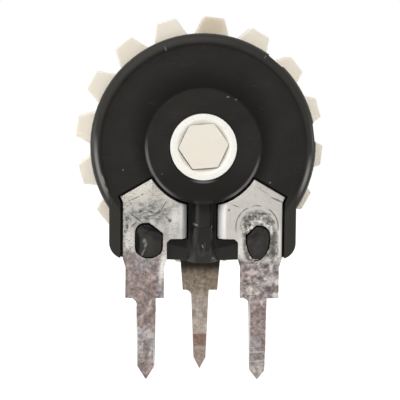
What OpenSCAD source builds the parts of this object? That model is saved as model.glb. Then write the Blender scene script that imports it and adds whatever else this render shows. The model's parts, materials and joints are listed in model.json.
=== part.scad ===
// Upright trimmer potentiometer with a thumbwheel, seen from its terminal side.
// X runs to the right, Y to the rear towards the thumbwheel, Z up.
// The origin lies on the board, midway between the two outer legs.
// Depths are counted rearwards from the crest of the housing's front rim.

/* [Housing] */
// Diameter of the round body
housing_d = 10.2; // [9.8:0.1:11.4]
// Height of the foot's underside above the board
stand_off = 1.8; // [1.2:0.05:3]
// Thickness of the foot's side walls beside the terminals
foot_wall = 0.52; // [0.4:0.02:0.6]
// Radius of the foot's lower corners
foot_round = 0.75; // [0.2:0.05:0.9]
// Rounding of the body's outer edge, front and rear
rim_round = 0.4; // [0.2:0.05:0.5]
// Flat land of the rim inside that rounding
rim_land = 0.08; // [0.04:0.02:0.3]
// Height of the rim and the boss above the faces
rim_h = 0.12; // [0.06:0.02:0.2]
// Thickness of the front wall behind the face
front_wall = 0.9; // [0.8:0.05:1.2]
// Thickness of the round side wall
side_wall = 0.6; // [0.5:0.05:0.7]
// Thickness of the rear cover
cover_t = 1; // [0.8:0.05:1.4]
// Length of the cover's locating ring inside the housing
spigot_h = 0.3; // [0.2:0.05:0.4]
// Radial thickness of that locating ring
spigot_w = 0.5; // [0.3:0.05:0.6]
// Diameter of the boss round each bearing
boss_d = 5.24; // [5:0.04:5.4]
// Rounding of the boss's edge
boss_round = 0.08; // [0.04:0.02:0.1]
// Gap between the upper rib and the terminals' folded tabs
rib_gap = 0.3; // [0.2:0.02:0.4]
// Chamfer along the front edges of the rib
rib_chamfer = 0.1; // [0.04:0.02:0.16]
// Height of the rib's step above the foot's underside
rib_step_h = 1.44; // [1:0.02:1.8]
// Overhang of the rib's lower block below the foot
rib_drop = 0.16; // [0.05:0.01:0.3]
// Depth of the two shallow witness notches in the rim
notch_depth = 0.08; // [0.04:0.01:0.12]
// Width of each witness notch
notch_w = 0.85; // [0.5:0.05:1.2]
// Direction of the lower witness notch in degrees above the right
notch_low = 7.5; // [0:0.5:20]
// Direction of the upper witness notch in degrees above the right
notch_high = 50; // [40:0.5:60]

/* [Terminals] */
// Distance between the outer legs
pin_pitch = 5.08; // [4.9:0.02:5.6]
// Distance from the outer legs' row back to the centre leg
pin_row = 2.54; // [2.4:0.02:3]
// Thickness of the terminal sheet
sheet_t = 0.4; // [0.3:0.02:0.46]
// Depth of the terminals' front below the rim's crest
terminal_inset = 0.25; // [0.14:0.01:0.34]
// Width of each terminal beside its peg hole
strap_w = 2; // [1.9:0.05:2.2]
// Width of each terminal below the housing
blade_w = 1.75; // [1.5:0.05:1.9]
// Outward offset of strap and blade from the leg's centre
strap_shift = 0.07; // [0:0.01:0.15]
// Width of a leg at its shoulder
leg_w = 0.82; // [0.7:0.02:0.95]
// Width of an outer leg above its point
leg_end_w = 0.74; // [0.6:0.02:0.8]
// Narrowing of the centre blade towards its shoulder, at each side
centre_taper = 0.06; // [0:0.01:0.1]
// Width of the centre leg above its point
centre_leg_end_w = 0.58; // [0.5:0.02:0.8]
// Length of a leg below the board's surface
leg_l = 3.75; // [3:0.05:4.5]
// Length of a leg's point
point_l = 0.68; // [0.4:0.02:1]
// Fillet at one side of each leg's root
leg_fillet = 0.3; // [0.15:0.01:0.34]
// Height of a terminal's outer corner below the axis
ear_drop = 2.28; // [2.1:0.02:2.4]
// Overhang of that corner beyond the strap
ear_w = 0.12; // [0.06:0.01:0.2]
// Height of the corner's short sloping underside
ear_h = 0.26; // [0.1:0.02:0.4]
// Slope of the terminal's upper edge in degrees
ear_slope = 30; // [26:1:34]
// Width of the tab from the strap to its fold
tab_w = 0.91; // [0.85:0.01:0.95]
// Gap between the tab's lower edge and the round side wall
tab_margin = 0.3; // [0.25:0.01:0.5]
// Inner radius of the terminal's folds
bend_in = 0.1; // [0.06:0.02:0.14]
// Length of the tab's lip over the track
lip_l = 0.65; // [0.5:0.05:0.7]
// Step from the tab's lower edge up to the lip's
lip_step = 0.25; // [0.2:0.01:0.4]
// Chamfer between the tab and the strap
tab_chamfer = 0.16; // [0.08:0.02:0.24]
// Width of the peg hole
hole_w = 1.25; // [1.15:0.05:1.4]
// Height of the peg hole
hole_h = 1.6; // [1.5:0.05:1.7]
// Rounding of the peg hole's corners
hole_round = 0.42; // [0.3:0.02:0.5]
// Width of the slant across the hole's inner upper corner
hole_slant_w = 0.6; // [0.4:0.02:0.65]
// Height of that slant
hole_slant_h = 0.46; // [0.3:0.02:0.6]
// Height of the hole's centre above the foot's underside
hole_rise = 0.82; // [0.76:0.01:1]
// Inward offset of the hole from the strap's middle
hole_shift = 0.18; // [0:0.01:0.2]
// Radius of the dome on each staked peg
dome_r = 1.75; // [1:0.05:3]
// Outer diameter of the collector ring
collector_d = 6.4; // [6.2:0.1:6.8]

/* [Rotor] */
// Diameter of the rotor's front journal
journal_d = 3; // [2.8:0.05:3.2]
// Diameter of the rotor's rear journal
rear_journal_d = 3.6; // [3.4:0.05:3.7]
// Diameter of the rotor's hub inside the housing
hub_d = 4.5; // [4.4:0.05:4.6]
// Radial height of the stop lug on the hub
lug_h = 0.45; // [0.35:0.05:0.5]
// Angle that the stop lug spans
lug_angle = 44; // [30:1:60]
// Stand-out of the rotor's end in front of the rim
rotor_proud = 0.12; // [0.04:0.02:0.3]
// Width across the flats of the hexagonal bore
hex_af = 2; // [1.9:0.02:2.1]
// Width of the chamfer round the bore's mouth
mouth_chamfer = 0.08; // [0.04:0.02:0.16]
// Rotor's angle from the middle of its travel, as shown
rest_angle = 4.8; // [-20:0.2:20]
// Whole angle that the rotor turns between its stops
travel = 235; // [200:1:260]

/* [Track and wiper] */
// Thickness of the element's board
element_t = 0.6; // [0.5:0.05:0.7]
// Thickness of the printed carbon track
track_t = 0.04; // [0.02:0.01:0.06]
// Bare margin of the board beside the track
track_margin = 0.2; // [0.1:0.02:0.26]
// Thickness of the wiper's spring sheet
wiper_t = 0.15; // [0.1:0.01:0.2]
// Space between the wiper's ring and the collector
wiper_lift = 0.34; // [0.25:0.01:0.4]
// Width of each of the wiper's two fingers
finger_w = 0.6; // [0.5:0.02:0.7]
// Slit between the fingers
finger_slit = 0.2; // [0.1:0.02:0.3]
// Length of the upturned toe of a finger
toe_l = 0.3; // [0.2:0.02:0.36]
// Width of each tongue that rubs on the collector
tongue_w = 0.6; // [0.4:0.02:0.8]
// Angle from the fingers to each tongue
tongue_angle = 120; // [100:5:130]
// Distance of the rubbing point inside the collector's edge
tongue_inset = 0.3; // [0.2:0.02:0.4]

/* [Thumbwheel] */
// Distance between the flat tips of opposite teeth
wheel_d = 11.9; // [11.4:0.1:13]
// Thickness of the wheel
wheel_t = 2.2; // [1.8:0.1:3]
// Space between the cover and the wheel
wheel_gap = 0.8; // [0.5:0.05:1.2]
// Number of teeth
teeth = 16; // [12:1:20]
// Width of a tooth at its tip
tooth_tip_w = 0.96; // [0.8:0.02:1.1]
// Slope of a tooth's flanks to its own middle line in degrees
tooth_flank = 21; // [15:1:26]
// Radius at the bottom of the gaps between the teeth
tooth_fillet = 0.25; // [0.1:0.01:0.3]
// Diameter of the wheel's hub
wheel_hub_d = 3.6; // [3:0.1:4.2]
// Height of the hub on the side of the rotor
wheel_hub_h = 0.35; // [0.2:0.05:0.45]
// Depth of the hollow in the outer face
dish_h = 0.8; // [0.4:0.05:1]
// Width of the wheel's solid rim inside the teeth
dish_rim = 0.8; // [0.5:0.05:1.2]
// Setback of the shaft's end inside the rotor's mouth
shaft_inset = 0.05; // [0:0.01:0.1]

/* [Fits] */
// Radial clearance of the journals in their bores
running = 0.03; // [0.02:0.01:0.06]
// Clearance across the flats between shaft and bore
shaft_fit = 0.03; // [0.02:0.01:0.08]
// Gap round the terminals in their pockets
seat_gap = 0.1; // [0.06:0.01:0.16]
// Gap between the terminal's round edge and the boss
boss_gap = 0.13; // [0.08:0.01:0.18]
// Gap between a peg and its hole, all round
peg_gap = 0.06; // [0.04:0.01:0.12]
// Small gap between fixed pieces that are pushed together
push_fit = 0.05; // [0.03:0.01:0.08]
// Axial play of the rotor
end_play = 0.06; // [0.04:0.01:0.1]
// Gap that moving pieces keep from fixed ones inside
sweep_gap = 0.15; // [0.1:0.01:0.18]
// Angular gap left at each stop in degrees
stop_gap = 0.6; // [0.3:0.1:1]
// Gap left under the wiper's contact points
touch_gap = 0.02; // [0.01:0.01:0.04]

/* [Hidden] */
$fn = 96;
hex_sides = 6;
full_turn = 360;
// Length by which cutting shapes pass a surface
cut = 1;
// Length by which joined shapes run into each other
root = 0.2;

housing_r = housing_d / 2;
foot_drop = housing_r;
axis_h = foot_drop + stand_off;
cavity_r = housing_r - side_wall;
boss_r = boss_d / 2;
hub_r = hub_d / 2;
lug_r = hub_r + lug_h;

// Depths of the layers, front to rear
face_v = rim_h;
seat_v = terminal_inset + sheet_t;
cavity_v = face_v + front_wall;
track_v = cavity_v + element_t;
lip_v = track_v + track_t;
collector_v = terminal_inset + pin_row;
part_v = collector_v + sheet_t;
cover_v = part_v + cover_t;
wheel_v = cover_v + wheel_gap;
wheel_back_v = wheel_v + wheel_t;
hub_front_v = cavity_v + end_play;
hub_back_v = collector_v - wiper_lift - wiper_t;
rotor_back_v = wheel_v - wheel_hub_h;
// Depth of the outer legs' middle plane, which is Y = 0
legs_v = terminal_inset + sheet_t / 2;

// Outer terminals, right-hand side
leg_x = pin_pitch / 2;
strap_x = leg_x + strap_shift;
strap_in = strap_x - strap_w / 2;
strap_out = strap_x + strap_w / 2;
blade_in = strap_x - blade_w / 2;
blade_out = strap_x + blade_w / 2;
ear_x = strap_out + ear_w;
fold_x = strap_in - tab_w;
bend_out = bend_in + sheet_t;
bend_x = fold_x + bend_out;
edge_r = boss_r + boss_gap;
tab_top = -(lug_r + sweep_gap);
tab_bottom = -(cavity_r - tab_margin);
lip_bottom = tab_bottom + lip_step;
lip_back_v = lip_v + sheet_t;
hole_x = strap_x - hole_shift;
hole_drop = foot_drop - hole_rise;

// Foot
seat_out = strap_out + seat_gap;
foot_w = 2 * (seat_out + foot_wall);
rib_x = fold_x - rib_gap;
block_v = face_v / 2;

// Track and wiper
element_r = cavity_r - push_fit;
element_bore_r = lug_r + sweep_gap;
element_end_x = bend_x + push_fit;
track_r = element_r - track_margin;
track_bore_r = element_bore_r + track_margin;
contact_r = (track_r + track_bore_r) / 2;
wiper_bore_r = rear_journal_d / 2 + running;
wiper_r = hub_r + lug_h / 2;
collector_r = collector_d / 2;
tongue_r = collector_r - tongue_inset;

// Thumbwheel
tip_r = wheel_d / 2;
half_pitch = full_turn / teeth / 2;
gap_slope = half_pitch + tooth_flank;
gap_mouth_r = tip_r * cos(half_pitch) + tooth_tip_w / 2 * sin(half_pitch);
gap_mouth_w = 2 * tip_r * sin(half_pitch) - tooth_tip_w * cos(half_pitch);
gap_apex_r = gap_mouth_r - gap_mouth_w / 2 / tan(gap_slope);
fillet_r = gap_apex_r + tooth_fillet / sin(gap_slope);
root_r = fillet_r - tooth_fillet;

// Height of a terminal's sloping upper edge at x, moved out by a gap
function ear_line(x, gap) = -ear_drop + gap / cos(ear_slope) + (ear_x - x) * tan(ear_slope);

// Radius over the corners of a hexagon
function hex_r(flats) = flats / 2 / cos(full_turn / hex_sides / 2);

// Extrudes an outline drawn round the axis, as seen from the front, between two depths
module slab(front_v, back_v) {
    translate([0, back_v - legs_v, axis_h])
        rotate([90, 0, 0])
            linear_extrude(height = back_v - front_v)
                children();
}

// Revolves a profile of radius and depth round the rotor's axis
module revolved() {
    translate([0, -legs_v, axis_h])
        rotate([-90, 0, 0])
            rotate_extrude()
                children();
}

// Turns a piece round the rotor's axis, counter-clockwise as seen from the front
module turned(angle) {
    translate([0, 0, axis_h])
        rotate([0, -angle, 0])
            translate([0, 0, -axis_h])
                children();
}

// Extrudes a side profile of depth and height above the axis to a width across X
module across(width) {
    translate([-width / 2, -legs_v, axis_h])
        rotate([90, 0, 90])
            linear_extrude(height = width)
                children();
}

// Mirrors to the left-hand side where side is -1
module on_side(side) {
    mirror([side < 0 ? 1 : 0, 0, 0])
        children();
}

module ring(outer_r, inner_r) {
    difference() {
        circle(r = outer_r);
        circle(r = inner_r);
    }
}

// Wedge of a circle that spans an angle about the direction of middle
module wedge(radius, middle, span) {
    reach = 2 * radius / cos(span / 4);
    polygon([
        [0, 0],
        for (step = [-2 : 2]) reach * [cos(middle + step * span / 4), sin(middle + step * span / 4)]
    ]);
}

// Hexagon of a width across its flats
module hexagon(flats) {
    circle(r = hex_r(flats), $fn = hex_sides);
}

// Peg hole with rounded corners and a slant across the inner upper one, made smaller by a gap
module peg_outline(gap) {
    width = hole_w - 2 * gap;
    height = hole_h - 2 * gap;
    corner = hole_round - gap;
    slant_w = hole_slant_w - gap / 2;
    slant_h = hole_slant_h - gap / 2;
    difference() {
        union() {
            square([width - 2 * corner, height], center = true);
            square([width, height - 2 * corner], center = true);
            for (side = [-1, 1], end = [-1, 1])
                translate([side * (width / 2 - corner), end * (height / 2 - corner)])
                    circle(r = corner);
        }
        translate([-width / 2, height / 2])
            polygon([
                [-slant_w, -2 * slant_h],
                [slant_w, 0],
                [slant_w, slant_h],
                [-slant_w, slant_h]
            ]);
    }
}

// Foot below the round body, with rounded lower corners
module foot_outline() {
    straight = foot_w - 2 * foot_round;
    translate([-foot_w / 2, foot_round - foot_drop])
        square([foot_w, foot_drop - foot_round]);
    translate([-straight / 2, -foot_drop])
        square([straight, foot_round]);
    for (side = [-1, 1])
        translate([side * straight / 2, foot_round - foot_drop])
            circle(r = foot_round);
}

// Half section of a round body from its face to its inner plane, with a rounded outer edge
module edge_profile(crest_v, face, inner_v) {
    into = sign(inner_v - crest_v);
    low = min(face, inner_v);
    high = max(face, inner_v);
    round_v = crest_v + into * rim_round;
    translate([0, low])
        square([housing_r - rim_round, high - low]);
    translate([0, min(round_v, inner_v)])
        square([housing_r, abs(inner_v - round_v)]);
    translate([housing_r - rim_round, round_v])
        intersection() {
            circle(r = rim_round);
            translate([0, -rim_round])
                square([rim_round, 2 * rim_round]);
        }
}

// Half section of the raised rim's land
module rim_profile(crest_v, face) {
    translate([housing_r - rim_round - rim_land, min(crest_v, face)])
        square([rim_land, abs(face - crest_v)]);
}

// Half section of the boss round a bearing, with its root in the wall
module boss_profile(crest_v, face) {
    into = sign(face - crest_v);
    base_v = face + into * root;
    round_v = crest_v + into * boss_round;
    translate([0, min(crest_v, base_v)])
        square([boss_r - boss_round, abs(base_v - crest_v)]);
    translate([0, min(round_v, base_v)])
        square([boss_r, abs(base_v - round_v)]);
    translate([boss_r - boss_round, round_v])
        circle(r = boss_round);
}

// Pocket of one outer terminal, open at the foot's underside and bounded by the boss
module seat_outline() {
    difference() {
        polygon([
            [-root, -foot_drop - cut],
            [seat_out, -foot_drop - cut],
            [seat_out, -ear_drop - ear_h],
            [ear_x + seat_gap, -ear_drop],
            [ear_x + seat_gap, ear_line(ear_x + seat_gap, seat_gap)],
            [-root, ear_line(-root, seat_gap)]
        ]);
        circle(r = boss_r);
    }
}

// Opening for a tab in the front wall, bounded by the boss
module tab_slot_outline() {
    difference() {
        translate([fold_x - push_fit, tab_bottom - push_fit])
            square([bend_out + push_fit, -boss_r / 2 - tab_bottom]);
        circle(r = boss_r);
    }
}

// Section of the rib between the terminals, as width and depth, narrower at its front
module rib_section(front_x, back_x, front_v) {
    polygon([
        [-front_x, front_v],
        [front_x, front_v],
        [back_x, seat_v],
        [back_x, cavity_v],
        [-back_x, cavity_v],
        [-back_x, seat_v]
    ]);
}

// Rib's lower block between the terminals, wider towards the board
module rib_block_outline() {
    polygon([
        [-rib_x, rib_step_h - foot_drop],
        [rib_x, rib_step_h - foot_drop],
        [fold_x, -foot_drop - rib_drop],
        [-fold_x, -foot_drop - rib_drop]
    ]);
}

// Peg that holds a terminal, staked to a low dome
module peg() {
    intersection() {
        slab(-rim_h, seat_v + root)
            translate([hole_x, -hole_drop])
                peg_outline(peg_gap);
        translate([hole_x, dome_r - legs_v, axis_h - hole_drop])
            sphere(r = dome_r);
    }
}

module housing() {
    color([0.15, 0.145, 0.135]) {
        difference() {
            union() {
                difference() {
                    revolved() {
                        edge_profile(0, face_v, part_v);
                        rim_profile(0, face_v);
                    }
                    slab(-cut, face_v) foot_outline();
                }
                slab(face_v, part_v) foot_outline();
            }
            for (side = [-1, 1])
                on_side(side) {
                    slab(-cut, seat_v) seat_outline();
                    slab(0, cavity_v + cut) tab_slot_outline();
                }
            slab(cavity_v, part_v + cut) circle(r = cavity_r);
            slab(-cut, part_v) circle(r = journal_d / 2 + running);
            slab(collector_v - push_fit, part_v + cut)
                translate([-blade_w / 2 - push_fit, -foot_drop - cut])
                    square([blade_w + 2 * push_fit, foot_drop]);
            for (angle = [notch_low, notch_high])
                slab(-cut, part_v + cut)
                    rotate(angle)
                        translate([housing_r - notch_depth, -notch_w / 2])
                            square([cut, notch_w]);
        }
        difference() {
            revolved() boss_profile(0, face_v);
            slab(-cut, part_v) circle(r = journal_d / 2 + running);
        }
        upright(rib_step_h - foot_drop - root, root - boss_r)
            rib_section(rib_x - rib_chamfer, rib_x, face_v);
        intersection() {
            upright(-foot_drop - cut, rib_step_h - foot_drop)
                rib_section(rib_x - rib_chamfer / 2, fold_x, block_v);
            slab(block_v, cavity_v) rib_block_outline();
        }
        for (side = [-1, 1])
            on_side(side) peg();
        stop_block();
    }
}

// Stop on the cavity's floor that the rotor's lug runs against
module stop_block() {
    slab(cavity_v - root, hub_back_v - sweep_gap)
        intersection() {
            ring(lug_r, hub_r + sweep_gap / 2);
            wedge(lug_r, -90, full_turn - travel - lug_angle);
        }
}

module rear_cover() {
    color([0.15, 0.145, 0.135]) {
        difference() {
            union() {
                difference() {
                    revolved() {
                        edge_profile(cover_v, cover_v - rim_h, part_v);
                        rim_profile(cover_v, cover_v - rim_h);
                    }
                    slab(cover_v - rim_h, cover_v + cut) foot_outline();
                }
                revolved() boss_profile(cover_v, cover_v - rim_h);
                slab(part_v, cover_v - rim_h) foot_outline();
                slab(part_v - spigot_h, part_v)
                    difference() {
                        ring(cavity_r - push_fit, cavity_r - push_fit - spigot_w);
                        translate([-blade_w / 2 - seat_gap, -cavity_r])
                            square([blade_w + 2 * seat_gap, cavity_r]);
                    }
            }
            slab(part_v - cut, cover_v + cut) circle(r = rear_journal_d / 2 + running);
        }
    }
}

// Horseshoe of the element, open between the two tabs
module horseshoe(outer_r, inner_r, end_x) {
    difference() {
        ring(outer_r, inner_r);
        translate([-end_x, -outer_r - cut])
            square([2 * end_x, outer_r + cut]);
    }
}

module resistive_element() {
    color([0.5, 0.34, 0.19])
        slab(cavity_v, track_v)
            horseshoe(element_r, element_bore_r, element_end_x);
}

module carbon_track() {
    color([0.08, 0.08, 0.085])
        slab(track_v, track_v + track_t)
            horseshoe(track_r, track_bore_r, element_end_x + push_fit);
}

// Leg below a terminal's shoulder, with a fillet at its left root
module leg_outline(end_w) {
    straight_l = leg_l - point_l;
    polygon([
        [-leg_w / 2, root],
        [-leg_w / 2, 0],
        [-end_w / 2, -straight_l],
        [0, -leg_l],
        [end_w / 2, -straight_l],
        [leg_w / 2, 0],
        [leg_w / 2, root]
    ]);
    difference() {
        translate([-leg_w / 2 - leg_fillet, -leg_fillet])
            square([leg_fillet + root, leg_fillet + root]);
        translate([-leg_w / 2 - leg_fillet, -leg_fillet])
            circle(r = leg_fillet);
    }
}

// Flat plate of an outer terminal, right-hand side, down to its shoulder
module plate_outline() {
    taper_top = -foot_drop;
    taper_end = -foot_drop - sheet_t;
    difference() {
        polygon([
            [bend_x, tab_bottom],
            [strap_in - tab_chamfer, tab_bottom],
            [strap_in, tab_bottom - tab_chamfer],
            [strap_in, taper_top],
            [blade_in, taper_end],
            [blade_in, -axis_h],
            [blade_out, -axis_h],
            [blade_out, taper_end],
            [strap_out, taper_top],
            [strap_out, -ear_drop - ear_h],
            [ear_x, -ear_drop],
            [bend_x, ear_line(bend_x, 0)]
        ]);
        circle(r = edge_r);
        translate([hole_x, -hole_drop])
            peg_outline(0);
    }
}

// Quarter fold between two flats, in the quadrant that the turns give
module fold(x_turn, v_turn) {
    intersection() {
        ring(bend_out, bend_in);
        translate([x_turn < 0 ? -bend_out : 0, v_turn < 0 ? -bend_out : 0])
            square(bend_out);
    }
}

// Section of the tab through the front wall, as width and depth
module tab_section() {
    translate([bend_x, terminal_inset + bend_out])
        fold(-1, -1);
    translate([fold_x, terminal_inset + bend_out])
        square([sheet_t, lip_back_v - terminal_inset - 2 * bend_out]);
}

// Section of the lip that is folded over the end of the track
module lip_section() {
    translate([bend_x, lip_back_v - bend_out])
        fold(-1, 1);
    translate([bend_x, lip_v])
        square([lip_l, sheet_t]);
}

// Extrudes a section of width and depth upwards between two heights about the axis
module upright(bottom_z, top_z) {
    translate([0, -legs_v, axis_h + bottom_z])
        linear_extrude(height = top_z - bottom_z)
            children();
}

module outer_terminal(side) {
    color([0.8, 0.79, 0.76]) {
        on_side(side) {
            slab(terminal_inset, seat_v) plate_outline();
            upright(tab_bottom, tab_top) tab_section();
            upright(lip_bottom, tab_top) lip_section();
            intersection() {
                upright(tab_bottom, -boss_r / 2) tab_section();
                slab(0, cavity_v)
                    difference() {
                        translate([0, tab_bottom]) square([bend_x, -tab_bottom]);
                        circle(r = edge_r);
                    }
            }
        }
        slab(terminal_inset, seat_v)
            translate([side * leg_x, -axis_h])
                leg_outline(leg_end_w);
    }
}

module terminal_left() {
    outer_terminal(-1);
}

module terminal_right() {
    outer_terminal(1);
}

module collector_terminal() {
    color([0.78, 0.76, 0.72])
        slab(collector_v, part_v) {
            difference() {
                union() {
                    circle(r = collector_r);
                    polygon([
                        [-blade_w / 2, 0],
                        [-blade_w / 2, -foot_drop],
                        [centre_taper - blade_w / 2, -axis_h],
                        [blade_w / 2 - centre_taper, -axis_h],
                        [blade_w / 2, -foot_drop],
                        [blade_w / 2, 0]
                    ]);
                }
                circle(r = rear_journal_d / 2 + sweep_gap);
            }
            translate([0, -axis_h])
                leg_outline(centre_leg_end_w);
        }
}

// Side profile of a bent spring strip of the wiper, through its points of depth and height
module strip(points) {
    count = len(points);
    polygon([
        for (point = points) point,
        for (index = [1 : count]) points[count - index] + [wiper_t, 0]
    ]);
}

module rotor() {
    color([0.95, 0.95, 0.93])
        turned(rest_angle)
            difference() {
                union() {
                    slab(-rotor_proud, hub_front_v + root) circle(d = journal_d);
                    slab(hub_front_v, hub_back_v) {
                        circle(r = hub_r);
                        intersection() {
                            circle(r = lug_r);
                            wedge(lug_r, 90, lug_angle - 2 * stop_gap);
                        }
                    }
                    slab(hub_back_v, rotor_back_v) circle(d = rear_journal_d);
                }
                slab(-rotor_proud - cut, rotor_back_v + cut) hexagon(hex_af);
                revolved()
                    polygon([
                        [0, -rotor_proud],
                        [hex_r(hex_af) + mouth_chamfer, -rotor_proud],
                        [0, hex_r(hex_af) + mouth_chamfer - rotor_proud]
                    ]);
            }
}

module wiper() {
    ring_back_v = hub_back_v + wiper_t;
    knee_r = lug_r + touch_gap;
    tip_v = lip_v + touch_gap;
    rub_v = collector_v - touch_gap - wiper_t;
    color([0.78, 0.62, 0.35])
        turned(rest_angle) {
            slab(hub_back_v, ring_back_v) ring(wiper_r, wiper_bore_r);
            for (side = [-1, 1])
                translate([side * (finger_w + finger_slit) / 2, 0, 0])
                    across(finger_w)
                        strip([
                            [hub_back_v, hub_r],
                            [hub_back_v, knee_r],
                            [tip_v, contact_r],
                            [tip_v + toe_l / 2, contact_r + toe_l]
                        ]);
            for (side = [-1, 1])
                turned(side * tongue_angle)
                    across(tongue_w)
                        strip([
                            [hub_back_v, hub_r],
                            [hub_back_v, wiper_r],
                            [rub_v, tongue_r],
                            [rub_v - wiper_t, tongue_r + wiper_t]
                        ]);
        }
}

// Gap between two teeth, V-shaped with a round bottom
module tooth_gap() {
    leave_r = fillet_r - tooth_fillet * sin(gap_slope);
    leave_w = tooth_fillet * cos(gap_slope);
    mouth_w = (tip_r + cut - gap_apex_r) * tan(gap_slope);
    translate([fillet_r, 0])
        circle(r = tooth_fillet);
    polygon([
        [leave_r, -leave_w],
        [tip_r + cut, -mouth_w],
        [tip_r + cut, mouth_w],
        [leave_r, leave_w]
    ]);
}

// Outline of the toothed wheel, whose teeth have flat tips
module wheel_outline() {
    corner_r = tip_r / cos(half_pitch);
    difference() {
        polygon([
            for (index = [1 : teeth])
                corner_r * [cos(2 * index * half_pitch), sin(2 * index * half_pitch)]
        ]);
        for (index = [1 : teeth])
            rotate(2 * index * half_pitch)
                tooth_gap();
    }
}

module thumbwheel() {
    shaft_af = hex_af - shaft_fit;
    color([0.9, 0.87, 0.8])
        turned(rest_angle) {
            difference() {
                slab(wheel_v, wheel_back_v) wheel_outline();
                slab(wheel_back_v - dish_h, wheel_back_v + cut)
                    ring(root_r - dish_rim, wheel_hub_d / 2);
            }
            slab(rotor_back_v, wheel_v) circle(d = wheel_hub_d);
            slab(shaft_inset - rotor_proud, wheel_v + root)
                hexagon(shaft_af);
        }
}

housing();
rear_cover();
resistive_element();
carbon_track();
terminal_left();
terminal_right();
collector_terminal();
rotor();
wiper();
thumbwheel();
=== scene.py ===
"""Dresses a packed trimmer potentiometer: softened pieces, their finishes, the stage and the camera."""

import json
import math

import bmesh
import bpy
from bpy.props import FloatProperty, FloatVectorProperty, PointerProperty
from mathutils import Matrix, Vector, noise


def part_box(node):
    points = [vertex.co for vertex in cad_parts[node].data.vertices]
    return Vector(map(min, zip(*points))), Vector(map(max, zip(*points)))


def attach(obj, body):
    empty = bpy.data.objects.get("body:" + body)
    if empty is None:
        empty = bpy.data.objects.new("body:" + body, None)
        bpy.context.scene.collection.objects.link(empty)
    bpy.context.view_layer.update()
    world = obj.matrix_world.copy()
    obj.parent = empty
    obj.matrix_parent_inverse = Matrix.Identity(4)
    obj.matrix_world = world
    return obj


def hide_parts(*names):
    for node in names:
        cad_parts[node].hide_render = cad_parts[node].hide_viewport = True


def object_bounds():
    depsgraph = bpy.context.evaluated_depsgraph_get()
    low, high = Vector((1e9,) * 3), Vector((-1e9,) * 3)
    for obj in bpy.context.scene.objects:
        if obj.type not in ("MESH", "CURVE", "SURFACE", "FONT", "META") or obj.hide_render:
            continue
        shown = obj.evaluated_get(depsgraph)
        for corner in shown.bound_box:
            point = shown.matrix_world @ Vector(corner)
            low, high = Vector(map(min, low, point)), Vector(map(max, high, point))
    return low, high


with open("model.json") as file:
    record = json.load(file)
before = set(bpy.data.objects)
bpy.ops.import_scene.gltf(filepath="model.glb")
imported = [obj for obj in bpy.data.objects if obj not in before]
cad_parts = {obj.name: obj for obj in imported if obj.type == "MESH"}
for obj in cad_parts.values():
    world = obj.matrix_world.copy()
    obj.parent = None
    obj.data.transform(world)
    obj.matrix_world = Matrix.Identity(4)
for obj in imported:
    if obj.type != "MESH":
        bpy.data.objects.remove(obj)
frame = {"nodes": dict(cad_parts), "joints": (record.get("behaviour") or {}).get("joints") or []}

bl_info = {
    "name": "Trimmer Potentiometer",
    "version": (1, 0, 0),
    "blender": (4, 5, 0),
    "location": "3D View > Sidebar > Trimmer",
    "description": "Softens the edges of a small trimmer potentiometer and gives its pieces their finishes",
    "category": "Mesh",
}

CAD_BOX = [list(corner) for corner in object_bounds()]
MM = 0.001

# Distances at which points merge and slivers close, angles of flat faces and of sharp edges,
# and the normal's part along Y below which a face counts as a front face
MERGE = 0.0002 * MM
SLIVER = 0.012 * MM
FLAT = math.radians(0.5)
SHARP = math.radians(30)
FACING = -0.3

# The rotor's axis and the radii of the edges on the housing's front, in millimetres
AXIS = tuple(part / MM for part in frame["joints"][0]["pos_m"])
BORE_EDGE, BOSS_EDGE, RIM_EDGE = 1.58, 2.56, 4.83

# In metres: the terminals' front plane, the band at the mouldings' outside that the solids round already,
# and the radius that holds the hexagon
SHEET_FRONT = -0.2 * MM
ROUNDED_BAND = 0.2 * MM
HEXAGON_REACH = 1.22 * MM

# The camera, from the photograph's perspective: place in millimetres, turns in radians, lengths in pixels
CAMERA_PLACE = (-2.71, -70.45, 11.03)
YAW, PITCH, ROLL = 0.0367, -0.0928, 0.0084
FOCAL_PX, WIDTH_PX = 1561.6, 400

# The stage: the floor's glow and shadow as seen, its radius, the even light, the lamps' aim in millimetres
FLOOR_GLOW, FLOOR_SHADOW = 0.88, 0.42
FLOOR_RADIUS = 600 * MM
SKY_LIGHT = 0.42
LAMP_AIM = (0, 1, 5)

# How each leg was cut: drop of its point's shoulders in millimetres, share of width at root and point
LEG_CUTS = {"terminal_left": (0.06, 0.07, 0.07), "collector_terminal": (0.15, 0.0, -0.03),
            "terminal_right": (0.26, 0.0, -0.08)}

# How a peg and its hole are drawn in on each side: share at the lower end, how late that sets in,
# share on the half towards the middle plane, drop in millimetres, and the reach in half holes
PEG_DRAWS = {-1: (0.5, 5.0, 0.0, 0.0), 1: (0.55, 1.5, 0.28, 0.1)}
HOLE_REACH = 1.3

# Marks on the front, in millimetres: place in X and Z, reach in both, turn in degrees
# Painted highlights along the rim's and the boss's rounded edges, and a painted glow at the bore's edge
RIM_HIGHLIGHTS = ((-4.72, 5.85, 0.25, 1.3, 12), (-4.6, 5.45, 0.2, 0.75, 18), (4.66, 5.6, 0.25, 0.7, -16))
BOSS_HIGHLIGHTS = (
    (-2.45, 6.1, 0.25, 1.15, 18), (-1.9, 5.2, 0.25, 0.7, 42), (2.15, 5.5, 0.25, 0.9, -33),
    (1.6, 4.9, 0.5, 0.25, 40))
BORE_GLOW = ((0.03, 5.33, 0.42, 0.14, 0),)
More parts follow.
